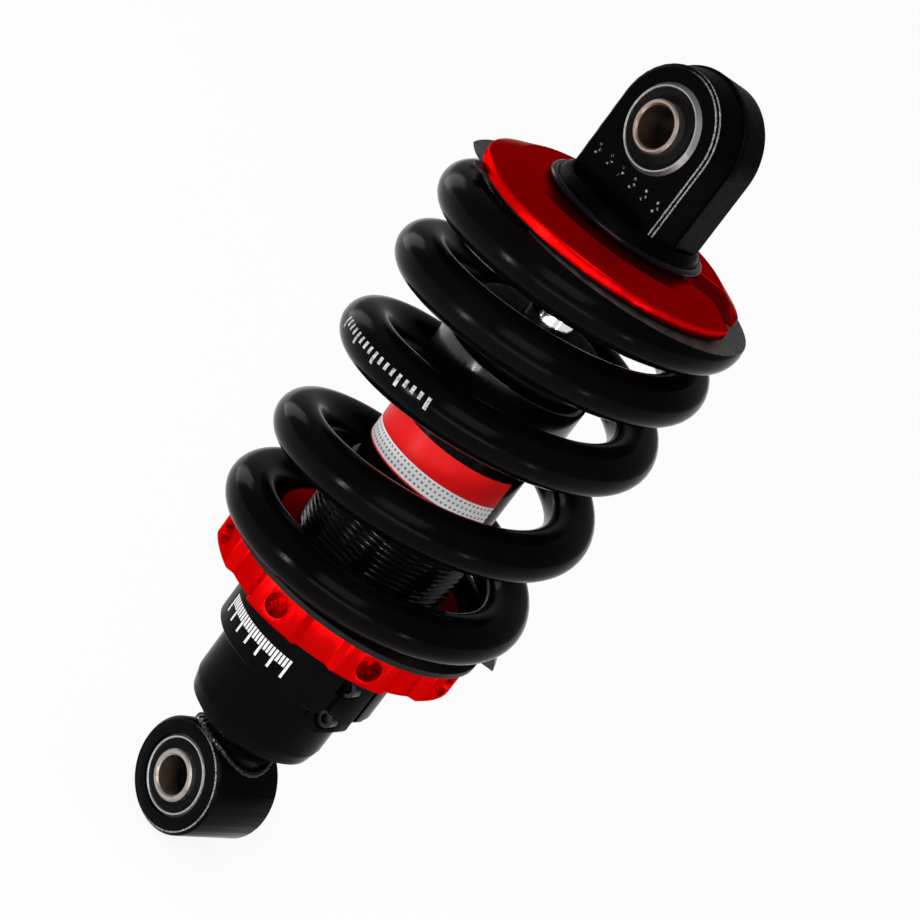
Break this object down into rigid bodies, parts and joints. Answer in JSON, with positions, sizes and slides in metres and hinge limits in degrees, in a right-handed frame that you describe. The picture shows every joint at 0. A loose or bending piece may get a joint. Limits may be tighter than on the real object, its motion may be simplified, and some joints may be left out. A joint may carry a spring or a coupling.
{
  "type": "motorcycle rear shock absorber",
  "caption": "Coil-over motorcycle monoshock: gas damper with rubber-bushed eyes, closely wound progressive spring between a turning preload nut and a slotted retainer.",
  "frame": {"origin": "centre of the lower eye's bore", "axes": "+Z along the damper's axis towards the upper eye, Y along both eye bores"},
  "size_m": [0.0814, 0.0814, 0.2371],
  "materials": {
    "bolt_sleeve": "turned, worn bright",
    "bush_shell": "ground",
    "bush_rubber": "matte",
    "black_body": "gloss black",
    "black_alloy": "satin black anodised",
    "cast_black": "rough cast, gloss black powder coat",
    "red_anodised": "red anodised",
    "spring_black": "gloss black powder coat",
    "hard_chrome": "mirror",
    "nylon_black": "moulded",
    "stop_rubber": "matte",
    "seal_rubber": "oiled",
    "plain_alloy": "machined",
    "bronze_lined": "plain",
    "plain_steel": "zinc plated",
    "black_oxide": "black oxide, oiled"
  },
  "bodies": {
    "lower_bolt_sleeve": {"lower_bush_inner_sleeve": "bolt_sleeve"},
    "damper_body": {"lower_eye": "black_body", "lower_bush_outer_sleeve": "bush_shell", "lower_bush_rubber": "bush_rubber", "lower_end_cap": "black_body", "gas_fill_screw": "plain_steel", "damper_tube": "black_body", "sleeve_circlip": "plain_steel", "clamp_collar": "black_alloy", "clamp_screws": "black_oxide", "threaded_sleeve": "black_body", "rod_guide": "plain_alloy", "guide_o_ring": "seal_rubber", "rod_bushing": "bronze_lined", "rod_seal": "seal_rubber", "dust_wiper": "seal_rubber", "gland_cap": "black_alloy", "bump_stop": "stop_rubber"},
    "gas_piston": {"floating_piston": "plain_alloy", "floating_piston_o_ring": "seal_rubber"},
    "rod_assembly": {"upper_mount": "cast_black", "piston_rod": "hard_chrome", "top_out_bumper": "stop_rubber", "backup_washers": "plain_steel", "compression_shims": "plain_steel", "piston": "plain_alloy", "piston_band": "nylon_black", "rebound_shims": "plain_steel", "piston_nut": "plain_steel", "upper_spring_seat": "nylon_black", "upper_spring_retainer": "red_anodised", "upper_bush_outer_sleeve": "bush_shell", "upper_bush_rubber": "bush_rubber"},
    "spring_seat": {"lower_spring_seat": "nylon_black", "coil_spring": "spring_black"},
    "adjuster": {"preload_adjuster": "red_anodised"},
    "upper_bolt_sleeve": {"upper_bush_inner_sleeve": "bolt_sleeve"}
  },
  "joints": [
    {"name": "lower_bush_twist", "type": "hinge", "parent": "lower_bolt_sleeve", "child": "damper_body", "pos_m": [0, 0, 0], "axis": [0, 1, 0], "range_deg": [-12, 12], "stiffness_Nm_per_rad": 40},
    {"name": "shock_stroke", "type": "slide", "parent": "damper_body", "child": "rod_assembly", "axis": [0, 0, -1], "range_m": [0, 0.03], "stiffness_N_per_m": 190000, "springref_m": -0.0001, "deforming": ["coil_spring", "bump_stop"]},
    {"name": "gas_piston_slide", "type": "slide", "parent": "damper_body", "child": "gas_piston", "axis": [0, 0, -1], "range_m": [0, 0.0047]},
    {"name": "seat_travel", "type": "slide", "parent": "damper_body", "child": "spring_seat", "axis": [0, 0, 1], "range_m": [0, 0.00375]},
    {"name": "adjuster_turn", "type": "hinge", "parent": "spring_seat", "child": "adjuster", "pos_m": [0, 0, 0.0643], "axis": [0, 0, 1], "range_deg": [0, 902]},
    {"name": "upper_bush_twist", "type": "hinge", "parent": "rod_assembly", "child": "upper_bolt_sleeve", "pos_m": [0, 0, 0.205], "axis": [0, 1, 0], "range_deg": [-15, 15], "stiffness_Nm_per_rad": 40}
  ],
  "couplings": [
    {"joint": "gas_piston_slide", "follows": "shock_stroke", "ratio": 0.15259},
    {"joint": "adjuster_turn", "follows": "seat_travel", "rad_per_m": 4188.8}
  ]
}
